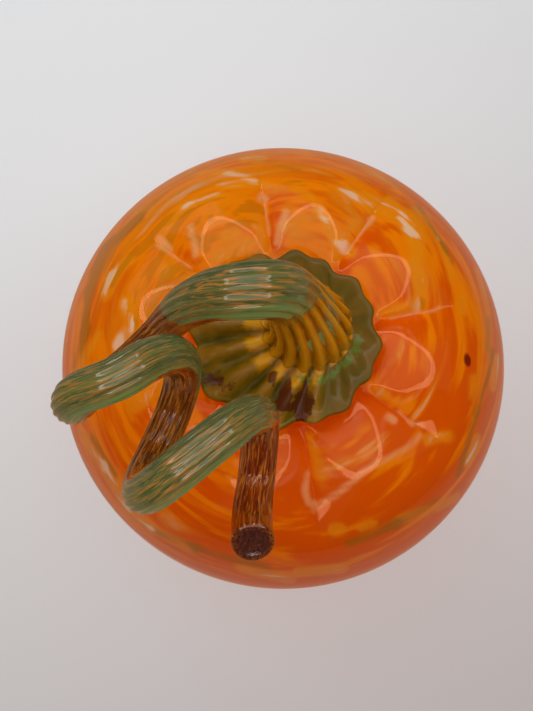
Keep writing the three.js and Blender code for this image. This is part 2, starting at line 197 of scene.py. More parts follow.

# Painted highlights and caustic glints in and between the creases, seen from above: first and last x and y in mm.
PAINTED_GLINTS = (
    (-7.9, 42.4, -7, 44.8), (-7, 44.8, -5, 42.7), (-5.8, 41.5, -4.1, 29.2), (0.8, 36.5, -1.5, 25.9),
    (-26.8, 32.7, -24.1, 24), (-37.2, 31.3, -33.3, 27.6), (-37.7, 28.4, -25.9, 20), (25.2, 36.9, 26.9, 37.1),
    (26.9, 37.1, 25.1, 34.3), (24.9, 35.1, 17.4, 24.3), (36, 7.7, 42.7, 8.3), (42.7, 8.3, 44.9, 9.6),
    (27.8, 5.5, 36, 7.7), (30.6, -19.8, 34.5, -24.2), (34.5, -24.2, 38, -23.9), (5.1, -36.1, 4.4, -41.3),
    (4.4, -41.3, 5.7, -45.5), (5.7, -45.5, 7.6, -45.3), (26.1, -21.3, 28.5, -22.9),
    (36.9, -27.5, 32.4, -30.7), (32.4, -30.7, 25.2, -33.4), (25.2, -33.4, 20.3, -35.9), (20.3, -35.9, 16.4, -39.9),
    (16.4, -39.9, 13.9, -42.5), (13.9, -42.5, 10.5, -45), (10.5, -45, 7.1, -47.4),
)


def length_setting(name, description, default):
    """A length that a user would change."""
    return bpy.props.FloatProperty(name=name, description=description, default=default, unit="LENGTH")


def colour_setting(name, description, default):
    """A colour that a user would change."""
    return bpy.props.FloatVectorProperty(name=name, description=description, default=default, subtype="COLOR", size=3)


class PumpkinSizes(bpy.types.PropertyGroup):
    """Lengths of the pumpkin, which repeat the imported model's."""

    body_diameter: length_setting("Body diameter", "Width of the blown body at its widest", 155 * MM)
    body_height: length_setting("Body height", "Height of the body's shoulder over the table", 108 * MM)
    dimple_depth: length_setting("Dimple depth", "How far the neck hole lies below the shoulder", 13 * MM)
    shoulder_radius: length_setting("Shoulder radius", "Radius of the body's highest circle", 38.5 * MM)
    wall: length_setting("Wall", "Thickness of the blown wall", 4 * MM)
    calyx_length: length_setting("Calyx length", "Longer width of the calyx", 52 * MM)
    calyx_width: length_setting("Calyx width", "Shorter width of the calyx", 49 * MM)
    neck_radius: length_setting("Stem neck radius", "Radius of the stem where it leaves its foot", 6.1 * MM)
    curl_rod_radius: length_setting("Curl rod radius", "Radius of the stem on its curl", 4.15 * MM)


class PumpkinColours(bpy.types.PropertyGroup):
    """Colours of the glass and of the paper under it."""

    casing: colour_setting("Clear casing", "Tint of the clear glass outside the colour", (0.99, 0.93, 0.74))
    # Painted rosy reflection at the rim, as a tint of the casing on the sides.
    blush: colour_setting("Painted rim reflection", "Rosy tint of the casing on the sides", (0.95, 0.70, 0.55))
    dense_orange: colour_setting("Dense orange", "Orange glass where it is thick", (0.79, 0.142, 0.0))
    light_orange: colour_setting("Light orange", "Orange glass where it is thin", (1.0, 0.34, 0.001))
    glow: colour_setting("Glow", "Light that comes through the orange glass", (0.88, 0.23, 0.001))
    amber: colour_setting("Amber", "Amber swirls in the orange", (0.93, 0.42, 0.012))
    cream: colour_setting("Cream", "Cream streaks in the orange", (0.99, 0.90, 0.68))
    brown_streak: colour_setting("Brown streak", "Thin dark streaks in the orange", (0.40, 0.175, 0.006))
    stem_green: colour_setting("Stem green", "Green skin on the outside of the stem's bends", (0.078, 0.100, 0.030))
    stem_amber: colour_setting("Stem amber", "Amber glass under the stem's green skin", (0.36, 0.095, 0.004))
    flange: colour_setting("Calyx flange", "Grey-brown edge of the calyx", (0.160, 0.085, 0.012))
    dark_red: colour_setting("Dark red", "Patches on the calyx and a fleck in the body", (0.070, 0.010, 0.004))
    floor: colour_setting("Floor", "Pale paper on the cool side", (0.945, 0.955, 0.97))
    # Painted shade on the paper, with a rosy glow from the glass, across one side of the view.
    floor_shaded: colour_setting("Shaded floor", "Pale paper on the warm side", (0.55, 0.485, 0.47))
    floor_glow: colour_setting("Floor glow", "Paper that the glass mirrors", (0.70, 0.41, 0.27))


def smoothstep(value, start, end):
    """0 before start, 1 after end, and 3t^2 - 2t^3 between them, with t from 0 to 1."""
    t = np.clip((value - start) / (end - start), 0, 1)
    return t * t * (3 - 2 * t)


def bell_curve(value, middle, half_width):
    """e^-((value - middle) / half_width)^2: 1 at the middle and 0.37 a half-width off it."""
    return np.exp(-(((value - middle) / half_width) ** 2))


def crease_wander(angle):
    """2 degrees times the cosine of the angle from -10 degrees, by which the creases leave even spacing."""
    return CREASE_WANDER * np.cos(angle - WANDER_ANGLE)


def lobe_turn(angle):
    """Lobes passed since the first crease: a whole number on every crease."""
    return (angle - CREASE_ANGLE - crease_wander(angle)) * LOBES / TURN


def off_crease(angle):
    """How far off the nearest crease, in lobes, from -0.5 to 0.5."""
    turn = lobe_turn(angle)
    return turn - np.round(turn)


def lobe_wave(angle):
    """|sin(pi t)| of the lobes passed: 0 along a crease and 1 along the middle of a lobe."""
    return np.abs(np.sin(np.pi * lobe_turn(angle)))


def lobe_drop(radius, angle):
    """The lobes' depth times 1 - lobe_wave, faded in past the calyx's foot and out down the shoulder."""
    rise = smoothstep(radius, *LOBES_FADE_IN)
    fall = 1 - smoothstep(radius, *LOBES_FADE_OUT)
    return LOBE_DEPTH * rise * fall * (1 - lobe_wave(angle))


def crease_drop(radius, angle):
    """The creases' depth times a bell curve of the arc across each crease, faded in and out along it."""
    arc = radius * TURN / LOBES * off_crease(angle)
    rise = smoothstep(radius, *LOBES_FADE_IN)
    fall = 1 - smoothstep(radius, *CREASES_FADE_OUT)
    return CREASE_DEPTH * rise * fall * bell_curve(arc, 0, CREASE_HALF_WIDTH)


def dimple_height(sizes, radius):
    """The shoulder height less a parabola that reaches the dimple's depth at the neck hole."""
    inward = (sizes.shoulder_radius - radius) / (sizes.shoulder_radius - NECK_HOLE)
    return sizes.body_height - sizes.dimple_depth * inward**2


def body_outline(sizes):
    """Radius, height and draw-in of the outer skin from the middle of the base to the neck hole.

    A kick-up of half a cosine, a flat standing ring, a quarter of an ellipse out to the widest part, a second
    one up to the shoulder, and the dimple. The draw-in is sin 2a below the widest part, with a from 0 to 90
    degrees over the first quarter, and 0 elsewhere."""
    kick = np.linspace(0, KICK_RADIUS, 7)[1:]
    a = np.linspace(0, np.pi / 2, 42, endpoint=False)
    b = np.linspace(0, np.pi / 2, 76, endpoint=False)
    dimple = np.linspace(sizes.shoulder_radius, NECK_HOLE, 50)
    half = sizes.body_diameter / 2
    radius = np.concatenate([
        kick,
        STANDING_RADIUS + (half - STANDING_RADIUS) * np.sin(a),
        sizes.shoulder_radius + (half - sizes.shoulder_radius) * np.cos(b),
        dimple,
    ])
    height = np.concatenate([
        KICK_HEIGHT * (1 + np.cos(np.pi * kick / KICK_RADIUS)) / 2,
        WIDEST_HEIGHT * (1 - np.cos(a)),
        WIDEST_HEIGHT + (sizes.body_height - WIDEST_HEIGHT) * np.sin(b),
        dimple_height(sizes, dimple),
    ])
    drawn = np.concatenate([0 * kick, np.sin(2 * a), 0 * b, 0 * dimple])
    return radius, height, drawn


def inner_outline(sizes, radius, height, drawn):
    """Every second row of the outline moved in by the wall along its normal, run back from the neck hole."""
    run_r, run_z = np.gradient(radius), np.gradient(height)
    run = np.hypot(run_r, run_z)
    inner_r = radius - sizes.wall * run_z / run
    inner_z = height + sizes.wall * run_r / run
    inner_r[-1], inner_z[-1] = NECK_HOLE, height[-1] - sizes.wall
    keep = slice(None, None, -2)
    return inner_r[keep], inner_z[keep], drawn[keep]


def body_angles():
    """Columns of each lobe, crowded towards its creases by 0.13 of a sine and led along with their wander."""
    share = np.linspace(0, 1, LOBE_COLUMNS, endpoint=False)
    crowded = share - 0.13 * np.sin(TURN * share)
    even = (CREASE_ANGLE + (np.arange(LOBES)[:, None] + crowded) * TURN / LOBES).ravel()
    return even + crease_wander(even + crease_wander(even))


def body_rings(outline, angles, share):
    """The outline turned round the axis, with a share of the draw-in below its widest part and of the drops over it.

    Below, the radius less the draw-in times 1 - lobe_wave. Above, the height less lobe_drop and crease_drop."""
    radius, height, drawn = (values[:, None] for values in outline)
    angle = angles[None, :]
    above = height > WIDEST_HEIGHT
    drop = np.where(above, lobe_drop(radius, angle) + crease_drop(radius, angle), 0)
    r = radius - share * SIDE_DRAW_IN * drawn * (1 - lobe_wave(angle))
    z = height - share * drop + 0 * angle
    return np.stack([r * np.cos(angle), r * np.sin(angle), z], axis=-1)


def off_segment(x, y, ax, ay, bx, by):
    """Distance in the plane from points to the segment from a to b: to the foot of the perpendicular or an end."""
    long_x, long_y = bx - ax, by - ay
    share = np.clip(((x - ax) * long_x + (y - ay) * long_y) / (long_x**2 + long_y**2), 0, 1)
    return np.hypot(x - ax - share * long_x, y - ay - share * long_y)


def streak_field(streaks, x, y):
    """Sum over the streaks of strength times a bell curve of the distance from each."""
    return sum(
        strength * bell_curve(off_segment(x, y, *ends), 0, STREAK_SOFTNESS * width)
        for *ends, width, strength in streaks
    )


def swirl_space(radius, height, angle):
    """Where the swirls are read: on a tube, so that they run on unbroken round the body.

    A point's angle over the widest part, seen from the axis, gives its way up the skin in millimetres. The way up
    sets the height on the tube, and it leans the swirls by turning them on along it."""
    up = SKIN_TO_RADIAN * np.arctan2(height - WIDEST_HEIGHT, radius)
    lean = angle + up / SKIN_TO_LEAN
    return np.stack([SWIRL_RADIUS * np.cos(lean), SWIRL_RADIUS * np.sin(lean), 0 * lean + up / SKIN_TO_STEP], axis=-1)


def crease_shading(radius, angle):
    """Painted light and shade on the crease flanks: a bell curve just past each crease less one just before it, from
    the calyx's rim to the shoulder.
    """
    sides = bell_curve(off_crease(angle), 0.10, 0.07) - bell_curve(off_crease(angle), -0.12, 0.08)
    return sides * smoothstep(radius, 22 * MM, 27 * MM) * (1 - smoothstep(radius, 38 * MM, 46 * MM))


def neck_height(sizes):
    """Height of the neck hole's edge plus the seat's gap."""
    return sizes.body_height - sizes.dimple_depth + SEAT_GAP


def calyx_rim(sizes, angle):
    """Radius of an oval shifted half a millimetre to -X and -Y, with a scallop at each rib.

    It also dips in at each crease and comes out on each lobe by 0.6 to 1.2 mm, most on the lump's side."""
    oval = np.hypot(np.cos(angle) / (sizes.calyx_length / 2), np.sin(angle) / (sizes.calyx_width / 2))
    dips = (0.9 + 0.3 * np.cos(angle - LUMP_SIDE_ANGLE)) * (2 * lobe_wave(angle) - 1)
    shift = -0.5 * np.cos(angle) - 0.5 * np.sin(angle)
    return 1 / oval + MM * (0.6 * np.cos(RIBS * (angle - RIB_ANGLE)) + dips + shift)


def seat_height(sizes, radius, angle):
    """Height of the body's top without its creases, plus the gap that keeps the calyx clear of it."""
    return dimple_height(sizes, np.maximum(radius, NECK_HOLE)) - lobe_drop(radius, angle) + SEAT_GAP


def calyx_rings(sizes, angle):
    """Rings of the calyx: a straight spigot, an underside, a rounded edge and a ribbed top.

    The underside keeps the seat's height. The edge is half an ellipse. On top, the plan goes evenly from the rim
    to the stem's seat and the height as share^1.5, and the ribs stand on it as sin^2 of half a turn of the share."""
    inner_rim = calyx_rim(sizes, angle) - RIM_ROUNDING

    def ring(radius, height):
        r = radius + 0 * angle
        return np.stack([r * np.cos(angle), r * np.sin(angle), height + 0 * r], axis=-1)

    neck = neck_height(sizes)
    low = neck - SPIGOT_DEPTH
    spigot = np.concatenate([ring(SPIGOT_TIP_RADIUS, low), ring(SPIGOT_RADIUS, low), ring(SPIGOT_RADIUS, neck)])

    under_r = NECK_HOLE + (inner_rim - NECK_HOLE) * np.linspace(0.1, 1, 12)[:, None]
    under = ring(under_r, seat_height(sizes, under_r, angle))
    turn = np.linspace(-np.pi / 2, np.pi / 2, 11)[1:-1, None]
    edge_r = inner_rim + RIM_ROUNDING * np.cos(turn)
    edge = ring(edge_r, seat_height(sizes, edge_r, angle) + RIM_THICKNESS / 2 * (1 + np.sin(turn)))

    share = np.linspace(0, 1, 60)[:, None]
    x = (1 - share) * inner_rim * np.cos(angle) + share * (STEM_FOOT[0] + STEM_SEAT_RADIUS * np.cos(angle))
    y = (1 - share) * inner_rim * np.sin(angle) + share * (STEM_FOOT[1] + STEM_SEAT_RADIUS * np.sin(angle))
    foot = seat_height(sizes, inner_rim, angle) + RIM_THICKNESS
    ribs = (0.6 + 0.4 * np.cos(angle - LUMP_SIDE_ANGLE)) * MM * (1.1 * np.cos(RIBS * (angle - RIB_ANGLE)) + 0.9)
    z = foot + (STEM_FOOT[2] - foot) * share**1.5 + ribs * np.sin(np.pi * share) ** 2
    return np.concatenate([spigot, under, edge, np.stack([x, y, z], axis=-1)])


def route_point(reach, sway, height):
    """A point of the stem's route, in shares of the arch's span from the foot."""
    return STEM_FOOT + ARCH_SPAN * np.stack([reach, sway, height], axis=-1)


def curl_points():
    """Sixteen points of a left-handed helix round a dipped axis, from turn 0.04 to 1.3."""
    flat = math.cos(CURL_DIP)
    axis = np.array([math.cos(CURL_AZIMUTH) * flat, math.sin(CURL_AZIMUTH) * flat, -math.sin(CURL_DIP)])
    up = np.array([0, 0, 1]) - axis * axis[2]
    up /= np.linalg.norm(up)
    across = np.cross(axis, up)
    turn = np.linspace(0.04, 1.3, 16)[:, None]
    centre = route_point(0.83, 1.05, 0.881)
    off_axis = np.cos(TURN * turn) * up - np.sin(TURN * turn) * across
    return centre + CURL_PITCH * turn * axis + CURL_RADIUS * off_axis


def stem_controls():
    """The route's points: up out of the foot, over the arch, round the curl and out into the tail."""
    arch = np.array([
        (0, 0, 0), (0.001, -0.001, 0.09), (0.024, -0.035, 0.25), (0.068, -0.09, 0.44),
        (0.115, -0.115, 0.64), (0.165, -0.085, 0.83), (0.235, -0.03, 0.965), (0.325, 0.005, 1.0),
        (0.45, 0.005, 0.905), (0.56, 0.03, 0.746), (0.646, 0.08, 0.558), (0.746, 0.22, 0.379),
        (0.87, 0.49, 0.331), (0.976, 0.805, 0.45), (1.028, 1.065, 0.687), (1.01, 1.175, 0.94),
        (0.934, 1.105, 1.156),
    ])
    tail = np.array([(0.262, 1.9, 0.474), (0.278, 2.225, 0.54), (0.28, 2.44, 0.666), (0.274, 2.555, 0.806)])
    return np.vstack([route_point(*arch.T), curl_points(), route_point(*tail.T)])


def smooth_path(controls, per_span):
    """A centripetal Catmull-Rom curve through the controls, and the distance gone at each of its points.

    Each span is a cubic between its two controls. Its end slopes weigh the three nearest chords by the roots of
    their lengths."""
    p = np.vstack([2 * controls[0] - controls[1], controls, 2 * controls[-1] - controls[-2]])
    p0, p1, p2, p3 = (p[i:len(p) - 3 + i, None, :] for i in range(4))
    chords = ((p0, p1), (p1, p2), (p2, p3))
    d1, d2, d3 = (np.linalg.norm(b - a, axis=-1, keepdims=True) ** 0.5 for a, b in chords)
    m1 = ((p1 - p0) / d1 - (p2 - p0) / (d1 + d2) + (p2 - p1) / d2) * d2
    m2 = ((p2 - p1) / d2 - (p3 - p1) / (d2 + d3) + (p3 - p2) / d3) * d2
    t = np.linspace(0, 1, per_span, endpoint=False)[None, :, None]
    curve = p1 + m1 * t + (3 * (p2 - p1) - 2 * m1 - m2) * t**2 + (2 * (p1 - p2) + m1 + m2) * t**3
    curve = np.vstack([curve.reshape(-1, 3), controls[-1:]])
    gone = np.concatenate([[0], np.cumsum(np.linalg.norm(np.diff(curve, axis=0), axis=1))])
    return curve, gone


def carried_frames(curve):
    """Tangents, normals and binormals carried along with no twist: each normal is the last made square again."""
    tangents = np.gradient(curve, axis=0)
    tangents /= np.linalg.norm(tangents, axis=1, keepdims=True)
    normals = np.empty_like(tangents)
    normal = np.cross(tangents[0], np.cross(tangents[0], (0, 1, 0)))
    for i, tangent in enumerate(tangents):
        normal = normal - tangent * (normal @ tangent)
        normal /= np.linalg.norm(normal)
        normals[i] = normal
    return tangents, normals, np.cross(tangents, normals)


def rod_radius(sizes, distance, length):
    """A neck that thins along the arch, a flare that dies as e^-distance, a fuller curl and a swelling at the tip."""
    neck = sizes.neck_radius + (THIN_RADIUS - sizes.neck_radius) * smoothstep(distance, 22 * MM, 88 * MM)
    flare = (FLARE_RADIUS - sizes.neck_radius) * np.exp(-distance / FLARE_LENGTH)
    curl = (sizes.curl_rod_radius - THIN_RADIUS) * smoothstep(distance, 88 * MM, 108 * MM)
    return neck + flare + curl + TIP_SWELLING * smoothstep(distance, length - 25 * MM, length)


def rib_height(distance, length):
    """0.12 mm and 0.58 mm times e^-(distance / 20 mm), run out before the tip."""
    height = MM * (0.12 + 0.58 * np.exp(-distance / (20 * MM)))
    return height * (1 - smoothstep(distance, length - 12 * MM, length - 2 * MM))


def read_along(at, known, values):
    """Each column of values, known at some distances along the stem, read between them at others."""
    return np.stack([np.interp(at, known, column) for column in values.T], axis=-1)


def bend_outward(tangents, steps):
    """Unit vectors away from the middle of the bend: against the tangents' slope, averaged under a raised cosine."""
    slope = np.gradient(tangents, steps, axis=0)
    window = np.hanning(BEND_WINDOW) / np.hanning(BEND_WINDOW).sum()
    padded = np.pad(slope, ((BEND_WINDOW // 2, BEND_WINDOW // 2), (0, 0)), mode="edge")
    slope = np.stack([np.convolve(column, window, mode="valid") for column in padded.T], axis=-1)
    return -slope / np.linalg.norm(slope, axis=1, keepdims=True)


def stem_course():
    """Stations along the stem, and the centre, normal, binormal and outward of the bend at each.

    The curve is cut into even steps, on which the frames are carried, and read at the stations."""
    dense, gone = smooth_path(stem_controls(), 60)
    stations = np.concatenate([np.linspace(1.0, 9.0, 17), np.linspace(9.5, gone[-1] / MM, 480)]) * MM
    steps = np.linspace(0, gone[-1], COURSE_STEPS + 1)
    curve = read_along(steps, gone, dense)
    tangents, normals, binormals = carried_frames(curve)
    along = (curve, normals, binormals, bend_outward(tangents, steps))
    return stations, *(read_along(stations, steps, values) for values in along)


def stem_rings(sizes, course, angle):
    """Rings of the stem: a seat, one at each station, and the cut face. Also the way out all round each station.

    A ring is the rod's radius plus the ribs' height times a cosine, and the ribs turn slowly along it. The seat is a
    circle on the calyx. The face shrinks the last ring by shares and lifts it out."""
    stations, centre, normal, binormal, _ = course
    turned = angle + RIB_TWIST * stations[:, None]
    direction = normal[:, None] * np.cos(turned)[..., None] + binormal[:, None] * np.sin(turned)[..., None]
    ribs = rib_height(stations, stations[-1])[:, None] * np.cos(RIBS * (angle - RIB_ANGLE))
    section = rod_radius(sizes, stations, stations[-1])[:, None] + ribs
    rings = centre[:, None] + section[..., None] * direction
    spread = (rings[0] - STEM_FOOT) * (1, 1, 0)
    seat = STEM_FOOT + STEM_SEAT_RADIUS * spread / np.linalg.norm(spread, axis=1, keepdims=True)
    ahead = (centre[-1] - centre[-3]) / np.linalg.norm(centre[-1] - centre[-3])
    face = centre[-1] + (rings[-1] - centre[-1]) * FACE_SHARES + ahead * FACE_LIFTS
    return np.concatenate([seat[None], rings, face]), direction


def closed_skin(name, rings, first_pole, last_pole):
    """Mesh of a stack of closed rings, each joined to the next by quads and the ends by fans onto their poles."""
    count, sides = rings.shape[:2]
    at = 1 + np.arange(count * sides).reshape(count, sides)
    after = np.roll(at, -1, axis=1)
    quads = np.stack([at[:-1], after[:-1], after[1:], at[1:]], axis=-1).reshape(-1, 4)
    first = np.stack([np.zeros(sides, int), after[0], at[0]], axis=-1)
    last = np.stack([np.full(sides, 1 + count * sides), at[-1], after[-1]], axis=-1)
    points = np.vstack([first_pole, rings.reshape(-1, 3), last_pole])
    mesh = bpy.data.meshes.new(name)
    mesh.from_pydata(points, [], first.tolist() + quads.tolist() + last.tolist())
    mesh.shade_smooth()
    piece = bpy.data.objects.new(name, mesh)
    bpy.context.scene.collection.objects.link(piece)
    return piece


def with_poles(values, first=0.0, last=0.0):
    """Values of the rings' points with one more at each end for the poles."""
    return np.concatenate([[first], values.reshape(-1, *values.shape[2:]), [last]])


def with_mean_poles(values):
    """The same, each pole taking the mean of the ring beside it."""
    return with_poles(values, values[0].mean(axis=0), values[-1].mean(axis=0))


def store(piece, name, values):
    """One number or one vector for each point, as a named attribute."""
    kind, field = ("FLOAT", "value") if values.ndim == 1 else ("FLOAT_VECTOR", "vector")
    layer = piece.data.attributes.new(name, kind, "POINT")
    layer.data.foreach_set(field, np.ascontiguousarray(values, dtype=np.float32).ravel())


def paint_faces(piece, slots):
    """Which material slot each face takes."""
    piece.data.polygons.foreach_set("material_index", np.asarray(slots, dtype=np.int32))


class Wire:
    """A node socket that sums, differences and products can be written with."""

    def __init__(self, graph, socket):
        self.graph, self.socket = graph, socket

    def _math(self, operation, *values):
        return self.graph.node("ShaderNodeMath", {"operation": operation}, dict(enumerate(values)))

    def __add__(self, other):
        return self._math("ADD", self, other)

    __radd__ = __add__

    def __sub__(self, other):
        return self._math("SUBTRACT", self, other)

    def __rsub__(self, other):
        return self._math("SUBTRACT", other, self)

    def __mul__(self, other):
        return self._math("MULTIPLY", self, other)

    __rmul__ = __mul__

    def ramp(self, start, end):
        """0 before start and 1 after end, eased between them."""
        settings = {"interpolation_type": "SMOOTHSTEP"}
        return self.graph.node("ShaderNodeMapRange", settings, {0: self, 1: start, 2: end, 3: 0.0, 4: 1.0})


class Graph:
    """The node tree of one material."""

    def __init__(self, name):
        self.material = bpy.data.materials.new(name)
        self.material.use_nodes = True
        self.tree = self.material.node_tree
        self.tree.nodes.clear()

    @classmethod
    def of(cls, tree):
        """A graph over a tree that is there already, such as the world's."""
        graph = cls.__new__(cls)
        graph.material, graph.tree = None, tree
        tree.nodes.clear()
        return graph

    def node(self, kind, settings=None, sockets=None, out=0):
        """The wire out of a node of a kind, its settings made first, then its sockets' values or wires."""
        made = self.tree.nodes.new(kind)
        for key, value in (settings or {}).items():
            if key == "stops":
                for stop, (place, colour) in zip(self._stops(made, len(value)), value):
                    stop.position, stop.color = place, (*colour, 1)
            else:
                setattr(made, key, value)
        for key, value in (sockets or {}).items():
            socket = made.inputs[key]
            if isinstance(value, Wire):
                self.tree.links.new(value.socket, socket)
            else:
                socket.default_value = (*value, 1) if socket.type == "RGBA" else value
        return Wire(self, made.outputs[out]) if made.outputs else None

    @staticmethod
    def _stops(made, count):
        elements = made.color_ramp.elements
        while len(elements) < count:
            elements.new(0.5)
        return elements

    def attribute(self, name, out="Fac"):
        """What was stored on the piece under a name."""
        return self.node("ShaderNodeAttribute", {"attribute_name": name}, out=out)

    def place(self):
        """The piece's own coordinates, in metres."""
        return self.node("ShaderNodeTexCoord", out="Object")

    def noise(self, place, scale, detail=2.0, roughness=0.5):
        """Soft noise round 0.5."""
        sockets = {"Vector": place, "Scale": scale, "Detail": detail, "Roughness": roughness}
        return self.node("ShaderNodeTexNoise", None, sockets)

    def vector(self, operation, *values, out=0):
        """One step of vector maths."""
        return self.node("ShaderNodeVectorMath", {"operation": operation}, dict(enumerate(values)), out=out)

    def drifted(self, place, scale, amount):
        """Coordinates pushed about by a coarse coloured noise."""
        push = self.node("ShaderNodeTexNoise", None, {"Vector": place, "Scale": scale, "Detail": 1.0}, out="Color")
        push = self.node("ShaderNodeVectorMath", {"operation": "SCALE"}, {0: push, "Scale": amount})
        return self.vector("ADD", place, push)

    def ramp(self, value, *stops):
        """A colour read off a ramp of places and colours."""
        return self.node("ShaderNodeValToRGB", {"stops": stops}, {"Fac": value})

    def mix(self, share, first, second):
        """A colour that goes from first to second with share."""
        return self.node("ShaderNodeMix", {"data_type": "RGBA"}, {0: share, 6: first, 7: second}, out=2)

    def bump(self, height, strength, distance):
        """A normal that follows a height."""
        return self.node("ShaderNodeBump", None, {"Height": height, "Strength": strength, "Distance": distance})

    def principled(self, colour, roughness, normal, more):
        """A Principled shader of glass, with more of its sockets."""
        sockets = {"Base Color": colour, "Roughness": roughness, "IOR": GLASS_IOR, **more}
        if normal is not None:
            sockets["Normal"] = normal
        return self.node("ShaderNodeBsdfPrincipled", None, sockets)

    def glass(self, colour, roughness=0.0, normal=None, sheen=(1.0, 1.0, 1.0)):
        """Clear glass that tints what crosses it and, head on, what it reflects."""
        more = {"Transmission Weight": 1.0, "Specular Tint": sheen}
        return self.principled(colour, roughness, normal, more)

    def blend(self, share, first, second):
        """A mix of two shaders."""
        return self.node("ShaderNodeMixShader", None, {0: share, 1: first, 2: second})

    def pigment(self, colour, roughness, normal=None, gloss=0.5):
        """Opaque coloured glass, with its own gloss unless it lies under a clear casing."""
        return self.principled(colour, roughness, normal, {"Specular IOR Level": gloss})

    def ray(self, kind):
        """1 on rays of a kind, from the light path."""
        return self.node("ShaderNodeLightPath", out=kind)

    def surface(self, shader):
        """The material with this shader on its surface."""
        output = self.tree.nodes.new("ShaderNodeOutputMaterial")
        self.tree.links.new(shader.socket, output.inputs["Surface"])
        return self.material

    def lit(self, shader, shadow):
        """A glass surface that lets lamplight through with a tint, so that its shadow stays light."""
        clear = self.node("ShaderNodeBsdfTransparent", None, {"Color": shadow})
        return self.surface(self.blend(self.ray("Is Shadow Ray"), shader, clear))


def casing_glass(colours):
    """The body's outer skin: clear fire-polished glass, faintly wavy, tinted rosy on the sides as a painted
    reflection at the rim.
    """
    g = Graph("clear_casing")
    place = g.place()
    waves = g.noise(place, 38.0, 1.0)
    clouds = g.noise(g.attribute("swirl", "Vector"), 0.9).ramp(0.35, 0.62)
    tint = g.mix(waves.ramp(0.35, 0.7), colours.casing, CASING_CLEAREST)
    # Painted rim reflection: the casing turns rosy on the sides, broken up by clouds.
    tint = g.mix(g.attribute("blush") * (clouds * 0.5 + 0.5), tint, colours.blush)
    normal = g.bump(waves, 0.2, 0.5 * MM)
    return g.lit(g.glass(tint, 0.03, normal, sheen=(1.0, 0.60, 0.30)), shadow=(0.97, 0.90, 0.72))


def orange_glass(colours):
    """The colour inside the casing: orange drawn into swirls, with cream, amber and brown streaks between.

    Broad and fine swirls add up to the tones. High tones turn the orange to gold and then to a glow of cream, and low
    ones to brown. The painted light from the piece turns it more golden and less deep on the lit side and on one
    flank of each crease, and lets low tones go brown there. The streaks and the painted glints come from the piece
    and break up where the fine swirls are low."""
    g = Graph("orange_swirl")
    swirl = g.drifted(g.attribute("swirl", "Vector"), 0.5, 2.0)
    broad = g.noise(swirl, 0.75)
    fine = g.noise(swirl, 2.0, 3.0)
    wisps = g.noise(swirl, 2.8, 3.0).ramp(0.32, 0.64)
    tones = broad * 0.56 + fine * 0.38 + wisps * 0.06
    # Painted light: more golden and less deep on the side the strongest softbox lights and on one flank of each
    # crease, darker on the other flank.
    mottle = g.attribute("mottle")
    gold = (tones + mottle * 0.07).ramp(0.53, 0.66)
    deep = (broad * 0.35 + fine * 0.65 - mottle * 0.08).ramp(0.42, 0.56)
    glow = (tones + mottle * 0.03 - 0.61) * 7.0
    # Painted highlights and caustic glints along the creases, broken up by the fine swirls.
    glint = (g.attribute("threads") * (fine * 0.8 + 0.5)).ramp(0.25, 1.1)
    streaks = g.attribute("cream") * (fine * 1.6 + 0.25)
    halo = streaks.ramp(0.02, 0.50)
    cream = (streaks * (wisps * 0.8 + 0.45) + glow).ramp(0.05, 1.30)
    shade = (0.50 - tones).ramp(0.0, 0.08) * mottle.ramp(-0.2, 0.7)
    brown = (g.attribute("brown") * (fine * 2.0 - 0.1) + shade * 0.6 - 0.05).ramp(0.10, 0.9)

    colour = g.mix(deep, colours.light_orange, colours.dense_orange)
    colour = g.mix(gold * 0.8, colour, colours.amber)
    colour = g.mix(halo * 0.7, colour, colours.amber)
    colour = g.mix(brown * 0.85, colour, colours.brown_streak)
    colour = g.mix(cream, colour, colours.cream)
    colour = g.mix(glint * 0.65, colour, GLINT_LIGHT)
    apart = g.vector("MULTIPLY", g.vector("SUBTRACT", g.place(), FLECK_PLACE), (1.0, 0.55, 0.4))
    fleck = g.vector("LENGTH", apart, out="Value") + (fine - 0.5) * 0.002
    colour = g.mix(fleck.ramp(1.3 * MM, 0.7 * MM), colour, colours.dark_red)

    film = g.mix(cream, colour, CREAM_FILM)
    dense = g.pigment(colour, 0.15, gloss=0.0)
    through = g.node("ShaderNodeBsdfTranslucent", None, {"Color": colours.glow})
    pigment = g.blend(0.26 - cream * 0.2 - brown * 0.16, dense, through)
    # Under the painted rim reflection the orange is also thicker.
    thick = g.attribute("blush") * 0.12 + 0.86
    surface = g.blend(thick - gold * 0.08 - cream * 0.25, g.glass(film, 0.02), pigment)
    return g.lit(surface, shadow=(0.95, 0.50, 0.12))


